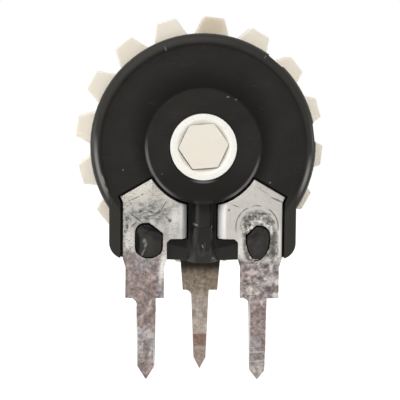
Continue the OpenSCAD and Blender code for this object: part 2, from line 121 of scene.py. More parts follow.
# Scuffs on the rib's lower block, and painted sheen along the upper rib's side edges
RIB_SCUFFS_AND_SHEEN = (
    (-0.27, 3.85, 0.1, 0.55, 0), (0.42, 3.78, 0.03, 0.5, 0), (-0.34, 2.75, 0.1, 0.6, -6),
    (-0.5, 2.1, 0.14, 0.45, 12), (0.02, 2.02, 0.16, 0.06, 25), (-0.2, 2.25, 0.06, 0.3, 8),
    (0.06, 2.3, 0.05, 0.3, -12), (0.36, 2.2, 0.05, 0.2, 0), (0.52, 1.86, 0.16, 0.12, 0))
PEG_SHEEN = (
    (-2.5, 2.45, 0.28, 0.42, 0), (-2.64, 2.6, 0.16, 0.3, -12), (-2.68, 2.15, 0.1, 0.3, -20),
    (2.5, 2.3, 0.25, 0.3, 0))
PEG_SHADE = ((-2.94, 2.5, 0.1, 0.6, 0), (-2.4, 3.2, 0.5, 0.1, -18))
GLINTS = (
    (-0.32, 3.36, 0.09, 0.05, 0), (0.43, 3.23, 0.035, 0.05, 0), (0.0, 2.4, 0.03, 0.08, 15),
    (0.5, 1.83, 0.06, 0.03, 0), (-2.63, 2.64, 0.07, 0.09, 0), (-2.58, 2.45, 0.05, 0.12, -20),
    (-2.7, 2.08, 0.03, 0.24, -25), (-4.34, 4.98, 0.03, 0.12, 27), (-4.5, 5.42, 0.04, 0.22, 18))
# Dust specks, and painted glints on the rim and at the boss's edge
DUST_AND_GLINTS = (
    (1.08, 9.15, 0.06, 0.03, 0), (1.44, 9.04, 0.05, 0.03, -20), (-1.73, 11.27, 0.11, 0.02, -68),
    (2.73, 10.95, 0.06, 0.02, 56), (-1.86, 5.67, 0.03, 0.02, 45), (3.02, 5.3, 0.04, 0.04, 0),
    (1.98, 5.1, 0.04, 0.05, 0), (-3.61, 5.84, 0.02, 0.05, 0))
WHEEL_STAIN = ((0.5, 12.3, 0.75, 0.6, 0),)
LEFT_WARM = ((-2.5, 4.9, 1.3, 0.42, 30),)
LEFT_SMUDGE = ((-2.5, 3.86, 0.95, 0.5, 14),)
LEFT_STROKES = (
    (-3.1, 4.54, 0.24, 0.02, 24), (-1.8, 4.17, 0.27, 0.024, 59), (-2.96, 3.63, 0.27, 0.03, -40),
    (-2.83, 3.94, 0.13, 0.03, 27), (-2.57, 3.65, 0.13, 0.03, -26), (-3.1, 3.37, 0.17, 0.03, 41),
    (-2.33, 3.94, 0.13, 0.03, -23), (-2.02, 3.91, 0.16, 0.06, 32), (-1.49, 3.54, 0.07, 0.08, -30),
    (-1.6, 3.68, 0.16, 0.018, -42), (-3.42, 3.25, 0.05, 0.13, 0), (-3.52, 3.06, 0.03, 0.06, 0),
    (-3.45, 3.62, 0.04, 0.12, 10), (-0.99, 4.15, 0.012, 0.17, 0), (-2.74, 4.72, 0.05, 0.03, 30),
    (-3.2, 3.8, 0.12, 0.02, -50), (-2.7, 4.25, 0.14, 0.016, -35), (-2.2, 4.35, 0.12, 0.016, 42))
LEFT_BRIGHT = (
    (-2.28, 3.45, 0.13, 0.1, 0), (-1.25, 3.7, 0.2, 0.35, 0), (-1.78, 1.8, 0.18, 0.35, 0),
    (-3.3, 2.6, 0.2, 0.6, 0))
LEFT_GREY = (
    (-1.66, 2.9, 0.1, 0.5, 8), (-1.05, 2.95, 0.02, 0.3, 0), (-1.17, 3.0, 0.015, 0.25, 0),
    (-1.38, 3.2, 0.014, 0.35, 4), (-1.28, 2.8, 0.014, 0.3, -3), (-3.48, 3.3, 0.1, 0.3, 0))
LEFT_GRAINS = ((-3.42, 2.1, 0.2, 0.14, 0), (-3.12, 1.95, 0.16, 0.14, -30), (-3.5, 1.75, 0.1, 0.25, 0))
RIGHT_LINE = ((2.72, 4.91, 0.3, 0.02, -31),)
RIGHT_SHADE = ((3.16, 2.4, 0.2, 0.75, 0),)
RIGHT_STROKES = (
    (3.38, 4.5, 0.3, 0.04, -24), (1.5, 4.22, 0.16, 0.02, -18), (1.18, 4.04, 0.05, 0.05, 0),
    (3.18, 3.55, 0.13, 0.05, -25), (2.5, 4.24, 0.16, 0.02, -8), (1.97, 3.3, 0.05, 0.06, 0))
RIGHT_BRIGHT = (
    (3.12, 3.1, 0.06, 0.17, 10), (1.72, 2.2, 0.14, 0.7, 0), (2.6, 3.5, 0.14, 0.06, -10),
    (2.2, 3.25, 0.06, 0.1, -40), (3.5, 2.6, 0.05, 0.7, 0), (3.0, 1.75, 0.1, 0.07, 0))
RIGHT_PITS = (
    (3.22, 2.72, 0.1, 0.36, -4), (3.2, 2.15, 0.12, 0.22, 0), (2.0, 2.62, 0.08, 0.2, 0),
    (1.95, 3.32, 0.06, 0.08, 0), (3.12, 3.5, 0.2, 0.06, -28), (2.2, 2.1, 0.06, 0.2, 15),
    (2.55, 3.88, 0.5, 0.05, -4), (2.05, 3.6, 0.1, 0.2, -40), (1.9, 2.45, 0.09, 0.4, 0),
    (2.02, 1.98, 0.1, 0.28, 20), (2.3, 1.7, 0.22, 0.09, -20), (2.72, 1.68, 0.26, 0.09, 15),
    (3.05, 1.95, 0.1, 0.22, -15), (2.95, 3.6, 0.28, 0.05, -36))
ROUGH_TIN = ((2.55, 2.45, 0.85, 1.05, 0), (3.25, 2.4, 0.22, 0.8, 0), (2.6, 1.55, 0.85, 0.4, 0))
CENTRE_RUST = ((0.74, 0.3, 0.12, 0.6, 0), (-0.78, 0.2, 0.1, 0.3, 0))
CENTRE_DULL = ((-0.3, -1.1, 0.12, 0.2, 0), (0.22, -1.15, 0.1, 0.25, 0))
CENTRE_STROKES = (
    (-0.4, 0.42, 0.16, 0.03, 35), (0.5, 0.68, 0.18, 0.03, 30), (0.0, 0.2, 0.3, 0.05, -10),
    (-0.7, 0.1, 0.05, 0.2, 0))

# Darker and lighter tones over the outer legs' film: strength, colour, marks as above
LEFT_TONES = (
    (0.55, (0.215, 0.155, 0.135), ((-2.56, -0.6, 0.5, 0.8, 0), (-2.62, 0.3, 0.6, 0.35, 0))),
    (0.65, (0.385, 0.36, 0.355), ((-2.56, -2.0, 0.5, 0.75, 0),)),
    (0.8, (0.16, 0.125, 0.105), ((-2.54, -2.45, 0.15, 0.55, 0),)))
LEFT_LIGHTS = (
    (0.65, (0.5, 0.44, 0.41), (
        (-2.4, -1.62, 0.13, 0.2, 0), (-2.36, -0.22, 0.06, 0.13, -10), (-2.76, -0.84, 0.14, 0.05, 38),
        (-2.42, -0.5, 0.12, 0.1, 20), (-2.75, 1.52, 0.07, 0.07, 0), (-2.25, 0.95, 0.07, 0.06, 0))),
    (0.7, (0.58, 0.58, 0.585), ((-2.93, -2.0, 0.03, 0.9, 0), (-2.18, -2.7, 0.03, 0.6, 0))),
    (0.95, (0.7, 0.68, 0.64), ((-1.78, 1.45, 0.16, 0.6, -8),)))
RIGHT_TONES = (
    (0.55, (0.265, 0.192, 0.178), ((2.54, -0.9, 0.35, 1.1, 0), (2.1, 1.05, 0.35, 0.4, 0))),
    (0.7, (0.39, 0.35, 0.32), ((2.1, 0.33, 0.45, 0.24, 0), (2.54, -3.3, 0.5, 0.42, 0))),
    (0.7, (0.12, 0.1, 0.098), (
        (3.2, 0.42, 0.3, 0.15, 24), (2.25, 0.64, 0.35, 0.04, 3), (2.9, 1.45, 0.2, 0.1, 0),
        (2.1, 0.12, 0.4, 0.025, 2))))
RIGHT_LIGHTS = (
    (0.5, (0.52, 0.498, 0.478), (
        (2.98, 0.72, 0.45, 0.12, 28), (2.54, -2.47, 0.45, 0.04, 3), (2.54, -2.9, 0.45, 0.04, 5),
        (2.3, 1.2, 0.35, 0.1, 10), (2.9, 1.75, 0.4, 0.12, 0))),
    (0.75, (0.62, 0.6, 0.57), (
        (3.36, 0.1, 0.16, 0.13, 0), (3.12, 1.38, 0.08, 0.18, 10), (1.9, -0.05, 0.12, 0.08, -35),
        (2.17, -1.3, 0.04, 1.3, 0), (2.72, -0.2, 0.06, 0.1, 0), (3.4, 0.75, 0.1, 0.12, 0))))


def length(name, default, description):
    """A size of the part, held in metres."""
    return FloatProperty(name=name, description=description, default=default * MM, unit="LENGTH",
                         precision=6, min=0.0)


def colour(name, default, description):
    """A colour of one of the part's finishes, in linear values."""
    return FloatVectorProperty(name=name, description=description, default=default, subtype="COLOR",
                               size=3, min=0.0, max=1.0)


class TrimmerSizes(bpy.types.PropertyGroup):
    """Sizes of the details that the dressing adds."""

    moulded_edge: length("Moulded edge", 0.04, "Softening of the edges of housing, cover and rotor")
    shaft_play: length("Shaft play", 0.026, "How far the shaft stands up in the rotor's bore")
    bore_edge: length("Hexagon rounding", 0.02, "Rounding of the edges at the hexagon")
    wheel_edge: length("Wheel edge", 0.07, "Softening of the thumbwheel's edges")
    sheet_edge: length("Sheet edge", 0.03, "Softening of the stamped terminals' edges")
    peg_x: length("Peg distance", 2.43, "Distance of each staked peg from the middle plane")
    peg_z: length("Peg height", 2.62, "Height of the staked pegs above the board")
    hole_half_w: length("Half hole width", 0.625, "Half width of a peg hole")
    hole_half_h: length("Half hole height", 0.8, "Half height of a peg hole")
    peg_melt: length("Peg melt", 0.06, "Unevenness of the staked pegs' heads")
    punch_x: length("Punch distance", 2.47, "Distance of the staking punch's print from the middle plane")
    punch_z: length("Punch height", 3.27, "Height of the staking punch's print above the board")
    punch_radius: length("Punch radius", 0.96, "Radius of the staking punch's print on the right terminal")
    punch_depth: length("Punch depth", 0.05, "Depth to which the staking punch pressed the sheet")
    sill: length("Sill", 0.12, "How much the foot's underside hangs lower between the terminals")
    flare: FloatProperty(name="Flare", default=0.09, min=0.0, max=0.15,
                         description="Share by which the collector's blade widens towards the housing")
    crust: length("Crust", 0.03, "Unevenness of the old solder and oxide on the outer legs")


class TrimmerColours(bpy.types.PropertyGroup):
    """Colours of the part's finishes."""

    black: colour("Black moulding", (0.0155, 0.0143, 0.0124), "Housing and rear cover")
    cream: colour("Cream moulding", (0.775, 0.725, 0.645), "Thumbwheel and its shaft")
    white: colour("White moulding", (0.83, 0.805, 0.755), "Rotor")
    tin: colour("Tin", (0.46, 0.44, 0.405), "Plating of the terminals")
    oxide: colour("Oxide", (0.245, 0.195, 0.182), "Dull film on the outer legs")
    khaki: colour("Khaki film", (0.262, 0.213, 0.165), "Dull film on the centre leg")
    brass: colour("Spring brass", (0.62, 0.42, 0.16), "Wiper")
    phenolic: colour("Phenolic board", (0.3, 0.17, 0.08), "Board of the resistive element")
    carbon: colour("Carbon film", (0.02, 0.02, 0.022), "Printed track")
    floor: colour("Floor", (0.95, 0.95, 0.95), "Floor under the part")


def sizes():
    """The sizes that the panel shows."""
    return bpy.context.scene.trimmer_sizes


def colours():
    """The colours that the panel shows."""
    return bpy.context.scene.trimmer_colours


def shade(base, factor):
    """A colour made darker or lighter, with its alpha."""
    return tuple(min(1.0, part * factor) for part in base) + (1.0,)


class Look:
    """A node material on Object coordinates in millimetres."""

    def __init__(self, name):
        self.material = bpy.data.materials.new(name)
        self.material.use_nodes = True
        self.tree = self.material.node_tree
        self.shader = self.tree.nodes["Principled BSDF"]
        self.place = self.mapped(self.add("ShaderNodeTexCoord").outputs["Object"], scale=(1 / MM,) * 3)

    def add(self, kind, sockets=None, **settings):
        """Adds a node, with its settings and its sockets linked or set."""
        node = self.tree.nodes.new(kind)
        for key, value in settings.items():
            setattr(node, key, value)
        for key, value in (sockets or {}).items():
            self.feed(node.inputs[key], value)
        return node

    def feed(self, socket, value):
        """Links a socket to another, or sets its value."""
        if isinstance(value, bpy.types.NodeSocket):
            self.tree.links.new(value, socket)
        else:
            socket.default_value = value

    def mapped(self, vector, location=(0, 0, 0), turn=(0, 0, 0), scale=(1, 1, 1)):
        """Coordinates that are stretched, turned and moved."""
        node = self.add("ShaderNodeMapping", {
            "Vector": vector, "Location": location,
            "Rotation": tuple(math.radians(angle) for angle in turn), "Scale": scale})
        return node.outputs["Vector"]

    def cloud(self, scale, detail=3.0, roughness=0.55, where=None):
        """Soft noise with so many features to the millimetre."""
        node = self.add("ShaderNodeTexNoise", {
            "Vector": where or self.place, "Scale": scale, "Detail": detail, "Roughness": roughness})
        return node.outputs["Fac"]

    def work(self, operation, first, second=0.0):
        """A sum, product or other working on two values."""
        node = self.add("ShaderNodeMath", {0: first, 1: second}, operation=operation)
        return node.outputs["Value"]

    def times(self, first, *others):
        """The product of values."""
        for other in others:
            first = self.work("MULTIPLY", first, other)
        return first

    def larger(self, first, second):
        """The larger of two values."""
        return self.work("MAXIMUM", first, second)

    def away(self, value, middle):
        """How far a value lies from a middle one."""
        return self.work("ABSOLUTE", self.work("SUBTRACT", value, middle))

    def rise(self, value, low, high):
        """A smooth step from 0 at low to 1 at high."""
        node = self.add("ShaderNodeMapRange", {"Value": value, "From Min": low, "From Max": high},
                        interpolation_type="SMOOTHSTEP")
        return node.outputs["Result"]

    def spread(self, value, low, high):
        """A value of 0 to 1 spread evenly between two others."""
        node = self.add("ShaderNodeMapRange", {"Value": value, "To Min": low, "To Max": high})
        return node.outputs["Result"]

    def mix(self, factor, first, second):
        """A blend of two colours."""
        node = self.add("ShaderNodeMix", {0: factor, 6: first, 7: second}, data_type="RGBA")
        return node.outputs[2]

    def blend(self, factor, first, second):
        """A blend of two values."""
        node = self.add("ShaderNodeMix", {0: factor, 2: first, 3: second}, data_type="FLOAT")
        return node.outputs[0]

    def ramp(self, value, *stops):
        """Colours in order along a value."""
        node = self.add("ShaderNodeValToRGB", {"Fac": value})
        marks = node.color_ramp.elements
        for _ in stops[2:]:
            marks.new(0.5)
        for mark, (position, tone) in zip(marks, stops):
            mark.position = position
            mark.color = tone
        return node.outputs["Color"]

    def axis(self, index):
        """One of the coordinates, in millimetres."""
        return self.add("ShaderNodeSeparateXYZ", {"Vector": self.place}).outputs[index]

    def scratches(self, turn, across, along, width, offset=0.0):
        """Fine lines that run along one direction of the sheet, as a value of 0 to 1."""
        where = self.mapped(self.place, location=(offset, 0, 0), turn=(0, turn, 0), scale=(along, 1, across))
        line = self.away(self.cloud(1.0, 2.0, 0.5, where), 0.5)
        return self.work("SUBTRACT", 1.0, self.rise(line, 0.0, width))

    def span(self, vector):
        """The length of a vector."""
        return self.add("ShaderNodeVectorMath", {0: vector}, operation="LENGTH").outputs["Value"]

    def radius(self, centre):
        """Distance in X and Z from a point, in millimetres."""
        return self.span(self.mapped(self.place, location=(-centre[0], 0, -centre[2]), scale=(1, 0, 1)))

    def patches(self, spots, soft=0.45, ragged=0.9, grain=6.0):
        """Ragged ovals on the front, as a value of 0 to 1: the marks' places, reaches and turns."""
        edge = self.times(self.work("SUBTRACT", self.cloud(grain, 4.0, 0.6), 0.5), ragged)
        total = 0.0
        for x, z, reach_x, reach_z, turn in spots:
            middle = Matrix.Rotation(math.radians(turn), 3, "Y") @ Vector((x, 0, z))
            moved = self.mapped(self.place, location=-middle, turn=(0, turn, 0))
            far = self.span(self.mapped(moved, scale=(1 / reach_x, 0, 1 / reach_z)))
            total = self.larger(total, self.rise(self.work("ADD", far, edge), 1 + soft, 1 - soft))
        return total

    def cover(self, tone, mask, strength, paint):
        """A tone with a paint over it, as far as a mask of 0 to 1 and a strength let it show."""
        return self.mix(self.times(mask, strength), tone, paint)

    def stain(self, tone, strength, paint, spots, **edges):
        """A tone with ragged ovals of a paint over it."""
        return self.cover(tone, self.patches(spots, **edges), strength, paint + (1.0,))

    def grained(self, tone, scale, contrast):
        """A tone made lighter and darker by a fine grain."""
        grain = self.times(self.work("SUBTRACT", self.cloud(scale, 5.0, 0.72), 0.5), contrast)
        factor = self.larger(self.work("ADD", grain, 1.0), 0.15)
        node = self.add("ShaderNodeVectorMath", {0: tone, "Scale": factor}, operation="SCALE")
        return node.outputs["Vector"]

    def relief(self, height, strength, depth):
        """Bump from a height, over any relief that is there already."""
        normal = self.shader.inputs["Normal"]
        node = self.add("ShaderNodeBump", {"Height": height, "Strength": strength, "Distance": depth * MM})
        if normal.is_linked:
            self.feed(node.inputs["Normal"], normal.links[0].from_socket)
        self.feed(normal, node.outputs["Normal"])

    def set(self, **sockets):
        """Feeds the shader's own sockets, by short names."""
        names = {"base": "Base Color", "rough": "Roughness", "metal": "Metallic",
                 "specular": "Specular IOR Level", "sss": "Subsurface Weight",
                 "sss_scale": "Subsurface Scale", "sss_radius": "Subsurface Radius"}
        for key, value in sockets.items():
            self.feed(self.shader.inputs[names[key]], value)

    def mottle(self, base, grain, shades, levels, **sockets):
        """Feeds a colour and a roughness that follow one grain, between two shades and two levels."""
        tone = self.ramp(grain, (0.3, shade(base, shades[0])), (0.7, shade(base, shades[1])))
        self.set(base=tone, rough=self.spread(grain, *levels), **sockets)


def painted_moulding_shade(look, radius, height, aside):
    """Painted shade on the black moulding, from 0 to 1: darkest round the boss, low on it and beside the rib.
    """
    reach = look.spread(look.rise(height, 6.0, 10.0), 3.3, 4.1)
    hollow = look.times(look.rise(radius, BOSS_EDGE + 0.04, BOSS_EDGE + 0.12),
                        look.rise(radius, reach, BOSS_EDGE - 0.01))
    lower = look.times(look.rise(height, 6.4, 4.9), look.rise(radius, BOSS_EDGE - 0.06, BOSS_EDGE - 0.16))
    beside = look.times(look.rise(look.away(aside, 0.75), 0.36, 0.26), look.rise(height, 4.7, 4.4))
    under = look.times(look.rise(aside, 0.62, 0.7), look.rise(aside, 1.9, 1.7), look.rise(height, 3.1, 2.9))
    dark = look.larger(hollow, look.times(look.larger(lower, under), 0.55))
    return look.larger(dark, look.times(beside, look.rise(height, 2.9, 3.1)))


def moulding_highlights_and_wear(look, tone, radius, front):
    """The black moulding's tone on its front: painted highlights along the rim, boss and bore edges, painted
    sheen and glints, scuffs and dust.
    """
    crests = ((RIM_EDGE, 0.12, 0.2, RIM_HIGHLIGHTS), (BOSS_EDGE, 0.1, 0.13, BOSS_HIGHLIGHTS),
              (BORE_EDGE, 0.09, 0.14, BORE_GLOW))
    # Painted highlights along the crests of the rim, the boss and the bore
    for middle, width, level, spots in crests:
        crest = look.times(look.rise(look.away(radius, middle), width, 0.02),
                           look.patches(spots, soft=0.85, ragged=0.3), front)
        tone = look.mix(crest, tone, (level, level * 0.97, level * 0.93, 1.0))
    # Scuffs and dust, with painted sheen on the rib and the pegs, and painted glints
    marks = ((0.6, 0.045, RIB_SCUFFS_AND_SHEEN), (0.6, 0.042, PEG_SHEEN), (0.7, 0.24, GLINTS), (0.75, 0.2, DUST_AND_GLINTS))
    for strength, level, spots in marks:
        mask = look.times(look.patches(spots, ragged=0.7, grain=11.0), front)
        tone = look.cover(tone, mask, strength, (level, level * 0.98, level * 0.95, 1.0))
    return tone


def black_moulding(name):
    """Warm black moulded plastic, satin, with painted highlights, sheen and shade, fine scuffs and a little
    dust.
    """
    look = Look(name)
    base = tuple(colours().black)
    radius, height = look.radius(AXIS), look.axis(2)
    aside = look.work("ABSOLUTE", look.axis(0))
    front = look.rise(look.axis(1), 1.0, 0.5)
    tone = look.ramp(look.cloud(0.9, 5.0), (0.3, shade(base, 0.8)), (0.7, shade(base, 1.2)))
    # Painted shade round the boss, low on it and beside the rib
    dark = look.times(painted_moulding_shade(look, radius, height, aside), front)
    tone = look.cover(tone, dark, 0.9, shade(base, 0.05))
    scuffs = look.times(look.scratches(28, 9.0, 0.8, 0.012), look.rise(look.cloud(1.4, 2.0), 0.5, 0.66))
    tone = look.cover(tone, scuffs, 0.4, shade(base, 3.5))
    # Painted sheen: the foot's side walls and the rim's outer band are lightened
    walls = look.times(look.rise(aside, 3.55, 4.0), look.rise(height, 4.4, 3.7))
    band = look.rise(radius, RIM_EDGE - 0.17, RIM_EDGE - 0.07)
    tone = look.cover(tone, look.larger(walls, band), 0.7, shade(base, 2.1))
    tone = moulding_highlights_and_wear(look, tone, radius, front)
    tone = look.mix(look.times(look.patches(PEG_SHADE, ragged=0.4), front), tone, shade(base, 0.05))
    look.relief(look.cloud(2.2, 3.0), 0.35, 0.03)
    look.relief(look.cloud(26.0, 2.0), 0.12, 0.01)
    look.set(base=tone, rough=look.spread(look.cloud(3.0, 4.0), 0.24, 0.42), specular=0.12)
    return look.material


def pale_tone(look, base, warmth):
    """Colour of pale plastic with faint yellowed patches and a few specks."""
    warm = tuple(part * (1 - loss * warmth) for part, loss in zip(base, (0.1, 0.15, 0.26))) + (1.0,)
    tone = look.ramp(look.cloud(0.35, 4.0), (0.36, shade(base, 1.0)), (0.68, warm))
    specks = look.rise(look.cloud(7.0, 2.0), 0.72, 0.78)
    return look.cover(tone, specks, 0.25, shade(base, 0.6))


def pale_moulding(look, tone, depth):
    """Pale moulded plastic, satin, that lets a little light in to a depth in millimetres."""
    look.relief(look.cloud(1.4, 3.0), 0.25, 0.03)
    look.relief(look.cloud(22.0, 2.0), 0.08, 0.01)
    look.set(base=tone, rough=look.spread(look.cloud(2.5, 3.0), 0.38, 0.55), specular=0.4,
             sss=0.3, sss_scale=depth * MM, sss_radius=(1.0, 0.8, 0.55))
    return look.material


def rotor_moulding(name):
    """White moulding of the rotor."""
    look = Look(name)
    return pale_moulding(look, pale_tone(look, tuple(colours().white), 0.15), 0.35)


def wheel_moulding(name):
    """Cream moulding of the thumbwheel, with painted light that makes it paler towards the tips of its teeth.
    """
    look = Look(name)
    base = tuple(colours().cream)
    tone = pale_tone(look, base, 0.35)
    radius = look.radius(AXIS)
    paler = tuple(min(0.97, part * gain) for part, gain in zip(base, (1.15, 1.135, 1.105))) + (1.0,)
    # Painted light: the teeth grow paler towards their tips
    tone = look.mix(look.rise(radius, 4.9, 5.5), tone, paler)
    tone = look.stain(tone, 0.7, (0.56, 0.47, 0.33), WHEEL_STAIN, soft=0.6, ragged=0.3)
    return pale_moulding(look, tone, 0.8)


def left_plate(look, tin):
    """Tinned plate with crossing scratches, a dark rubbed smudge and short black strokes."""
    plate = look.ramp(look.cloud(1.5, 5.0, 0.6), (0.34, shade(tin, 0.88)), (0.5, shade(tin, 1.0)),
                      (0.66, shade(tin, 1.12)))
    plate = look.stain(plate, 0.5, (0.5, 0.462, 0.405), LEFT_WARM, soft=0.6)
    zone = look.patches(LEFT_SMUDGE, soft=0.6, ragged=1.3)
    smudge = look.times(zone, look.rise(look.cloud(4.5, 5.0, 0.7), 0.36, 0.62))
    plate = look.cover(plate, smudge, 0.66, (0.165, 0.178, 0.188, 1.0))
    hatch = look.larger(look.scratches(40, 5.0, 1.2, 0.07), look.scratches(-41, 5.5, 1.3, 0.07, 7.0))
    hatch = look.times(hatch, look.rise(look.cloud(2.6, 2.0), 0.4, 0.6), look.blend(zone, 0.3, 0.82))
    plate = look.mix(hatch, plate, shade(tin, 0.2))
    plate = look.stain(plate, 0.6, (0.63, 0.61, 0.57), LEFT_BRIGHT, soft=0.6)
    plate = look.stain(plate, 0.55, (0.3, 0.3, 0.29), LEFT_GREY, soft=0.6)
    plate = look.stain(plate, 0.85, (0.05, 0.05, 0.05), LEFT_STROKES, soft=0.7, ragged=1.9, grain=10.0)
    pits = look.times(look.rise(look.cloud(12.0, 3.0, 0.6), 0.52, 0.64),
                      look.rise(look.cloud(1.6, 3.0, 0.6), 0.38, 0.56))
    plate = look.cover(plate, pits, 0.5, shade(tin, 0.35))
    specks = look.times(look.rise(look.cloud(9.0, 3.0, 0.6), 0.54, 0.62),
                        look.rise(look.axis(0), -2.95, -3.45))
    plate = look.cover(plate, specks, 0.7, shade(tin, 0.2))
    return plate, look.work("SUBTRACT", 1.0, hatch)


def right_plate(look, tin):
    """Smooth tinned plate with the staking punch's print and rough tin round the peg."""
    plate = look.ramp(look.cloud(0.9, 4.0, 0.5), (0.34, shade(tin, 0.93)), (0.66, shade(tin, 1.08)))
    plate = look.stain(plate, 0.7, (0.25, 0.17, 0.155), RIGHT_LINE, ragged=0.6)
    plate = look.stain(plate, 0.8, (0.06, 0.06, 0.06), RIGHT_STROKES, soft=0.6, ragged=1.1, grain=9.0)
    ring = look.radius((sizes().punch_x / MM, 0, sizes().punch_z / MM))
    line = look.rise(look.away(ring, sizes().punch_radius / MM), 0.045, 0.01)
    upper = look.rise(look.axis(2), 2.9, 3.3)
    broken = look.rise(look.cloud(2.2, 3.0), 0.4, 0.55)
    line = look.times(line, upper, broken)
    plate = look.cover(plate, line, 0.8, shade(tin, 0.2))
    uneven = look.work("ADD", ring, look.times(look.cloud(4.0, 4.0, 0.6), 0.18))
    near = look.patches(ROUGH_TIN, soft=0.25, ragged=0.7)
    pressed = look.larger(look.rise(uneven, 0.87, 0.8), near)
    dots = look.times(look.rise(look.cloud(12.0, 3.0, 0.6), 0.56, 0.66),
                      look.rise(look.cloud(1.9, 3.0, 0.6), 0.42, 0.58))
    plate = look.cover(plate, dots, 0.35, shade(tin, 0.3))
    gravel = look.ramp(look.cloud(5.0, 4.0, 0.72), (0.36, shade(tin, 0.08)), (0.43, shade(tin, 0.34)),
                       (0.5, shade(tin, 0.66)), (0.57, shade(tin, 1.05)), (0.65, shade(tin, 1.75)))
    plate = look.cover(plate, pressed, 0.92, gravel)
    plate = look.stain(plate, 0.6, (0.09, 0.086, 0.08), RIGHT_SHADE, soft=0.5, ragged=1.2)
    plate = look.stain(plate, 0.75, (0.07, 0.067, 0.062), RIGHT_PITS, soft=0.7, ragged=1.9, grain=8.0)
    band = look.times(look.rise(look.away(uneven, 0.82), 0.1, 0.02), upper)
    plate = look.cover(plate, band, 0.35, shade(tin, 0.3))
    plate = look.stain(plate, 0.75, (0.64, 0.62, 0.58), RIGHT_BRIGHT, soft=0.5)
    return plate, look.work("SUBTRACT", 1.0, line)


def leg_film(look, oxide, left):
    """Grainy film of oxide and old solder on an outer terminal's blade and leg."""
    film = look.mix(look.rise(look.cloud(1.4, 3.0), 0.45, 0.62), shade(oxide, 1.0), (0.255, 0.23, 0.228, 1.0))
    if not left:
        film = look.mix(look.rise(look.axis(2), -0.2, 0.5), film, (0.268, 0.234, 0.222, 1.0))
    for strength, tone, spots in LEFT_TONES if left else RIGHT_TONES:
        film = look.stain(film, strength, tone, spots, soft=0.35, ragged=1.2)
    film = look.grained(film, 7.5, 2.8)
    contrast = 1.5 if left else look.spread(look.rise(look.axis(2), -0.3, 0.3), 1.6, 3.8)
    film = look.grained(film, 3.8, contrast)
    for strength, tone, spots in LEFT_LIGHTS if left else RIGHT_LIGHTS:
        film = look.stain(film, strength, tone, spots, soft=0.6, ragged=1.4)
    pits = look.rise(look.cloud(11.0, 3.0, 0.6), 0.6, 0.68)
    film = look.cover(film, pits, 0.45, shade(oxide, 0.25))
    elsewhere = look.mapped(look.place, location=(3, 5, 7))
    sparks = look.rise(look.cloud(9.0, 2.0, 0.5, elsewhere), 0.66, 0.73)
    return look.cover(film, sparks, 0.7, (0.56, 0.49, 0.45, 1.0))


def tinned(name, left):
    """Tinned sheet: bright and scratched on the plate, filmed with oxide on the leg, with a painted highlight
    on its bend.
    """
    look = Look(name)
    tin, oxide = tuple(colours().tin), tuple(colours().oxide)
    patchy = look.cloud(2.6, 6.0, 0.65)
    top = 3.0 if left else 2.85
    leg = look.rise(look.work("ADD", look.axis(2), look.times(patchy, 1.6)), top, top - 0.5)
    plate, scored = left_plate(look, tin) if left else right_plate(look, tin)
    tone = look.mix(leg, plate, leg_film(look, oxide, left))
    if left:
        tone = look.stain(tone, 0.5, (0.11, 0.082, 0.068), LEFT_GRAINS, soft=0.25, ragged=3.4, grain=12.0)
    # Painted highlight on the bend by the tab: near white and less metallic
    fold_highlight = look.rise(look.work("ABSOLUTE", look.axis(0)), 1.12, 0.95)
    tone = look.cover(tone, fold_highlight, 0.5 if left else 1.0, (0.93, 0.92, 0.89, 1.0))
    look.relief(scored, 0.35, 0.02)
    look.relief(look.times(leg, look.cloud(7.0, 5.0, 0.7)), 0.6, 0.06)
    look.relief(look.cloud(1.2, 2.0), 0.25, 0.04)
    rough = look.blend(leg, look.spread(patchy, 0.34, 0.52), look.spread(patchy, 0.5, 0.72))
    fold_highlight_metal = look.spread(fold_highlight, 1.0, 0.2 if left else 0.0)
    metal = look.work("MINIMUM", look.spread(leg, 1.0, 0.65), fold_highlight_metal)
    look.set(base=tone, rough=rough, metal=metal)
    return look.material


